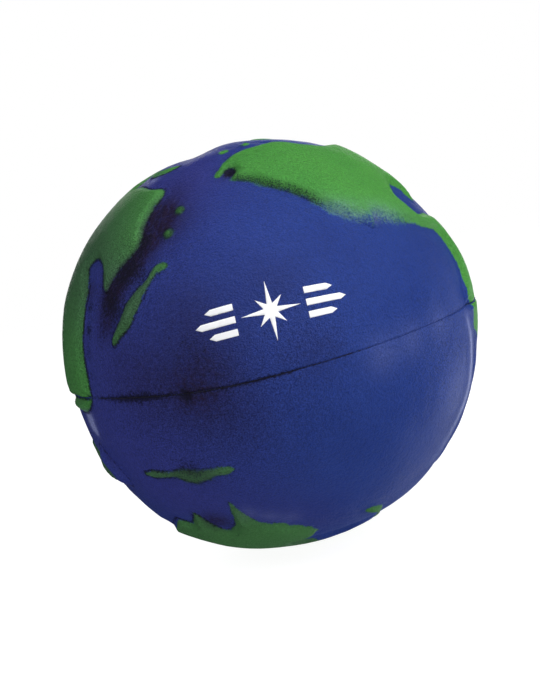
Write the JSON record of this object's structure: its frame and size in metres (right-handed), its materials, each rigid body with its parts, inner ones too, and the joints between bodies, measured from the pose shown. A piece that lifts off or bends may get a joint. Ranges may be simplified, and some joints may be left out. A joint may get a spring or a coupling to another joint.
{
  "type": "stress ball",
  "caption": "Soft foam stress ball moulded as a globe, with raised land, a parting flash round the middle and a small printed emblem.",
  "frame": {"origin": "centre of the ball, on the plane where the two mould halves met", "axes": "+Z runs to the globe's north pole, square to the parting plane; -Y faces the printed emblem; +X is east of it"},
  "size_m": [0.0628, 0.0628, 0.0633],
  "materials": {
    "foam_core": "open cellular polyurethane foam, matt",
    "sea_paint": "blue flexible paint on a dense foam skin, fine grain, soft satin",
    "land_paint": "green flexible paint on a raised foam skin, fine grain, soft satin",
    "flash": "dark torn foam edge, matt",
    "print_ink": "opaque white pad-print ink, matt"
  },
  "bodies": {
    "southern_half": {"foam_core": "foam_core", "ocean_skin_south": "sea_paint", "parting_flash": "flash", "asia_south": "land_paint", "south_america_south": "land_paint", "africa_south": "land_paint", "madagascar": "land_paint", "australia": "land_paint", "new_zealand": "land_paint", "antarctica": "land_paint", "southern_islet": "land_paint"},
    "northern_half": {"ocean_skin_north": "sea_paint", "north_america": "land_paint", "greenland": "land_paint", "south_america_north": "land_paint", "europe": "land_paint", "asia_west": "land_paint", "asia_east": "land_paint", "africa_north": "land_paint", "japan": "land_paint", "arctic_long_island": "land_paint", "arctic_islets": "land_paint", "north_pacific_islets": "land_paint", "north_atlantic_islets": "land_paint", "print_compass_rose": "print_ink", "print_side_bars": "print_ink"}
  },
  "joints": [
    {"name": "squeeze", "type": "slide", "parent": "southern_half", "child": "northern_half", "axis": [0, 0, -1], "range_m": [0, 0.022], "stiffness_N_per_m": 2500, "deforming": ["foam_core", "ocean_skin_south", "parting_flash", "asia_south", "south_america_south", "africa_south", "madagascar", "australia", "new_zealand", "antarctica", "southern_islet", "ocean_skin_north", "north_america", "greenland", "south_america_north", "europe", "asia_west", "asia_east", "africa_north", "japan", "arctic_long_island", "arctic_islets", "north_pacific_islets", "north_atlantic_islets", "print_compass_rose", "print_side_bars"]}
  ]
}
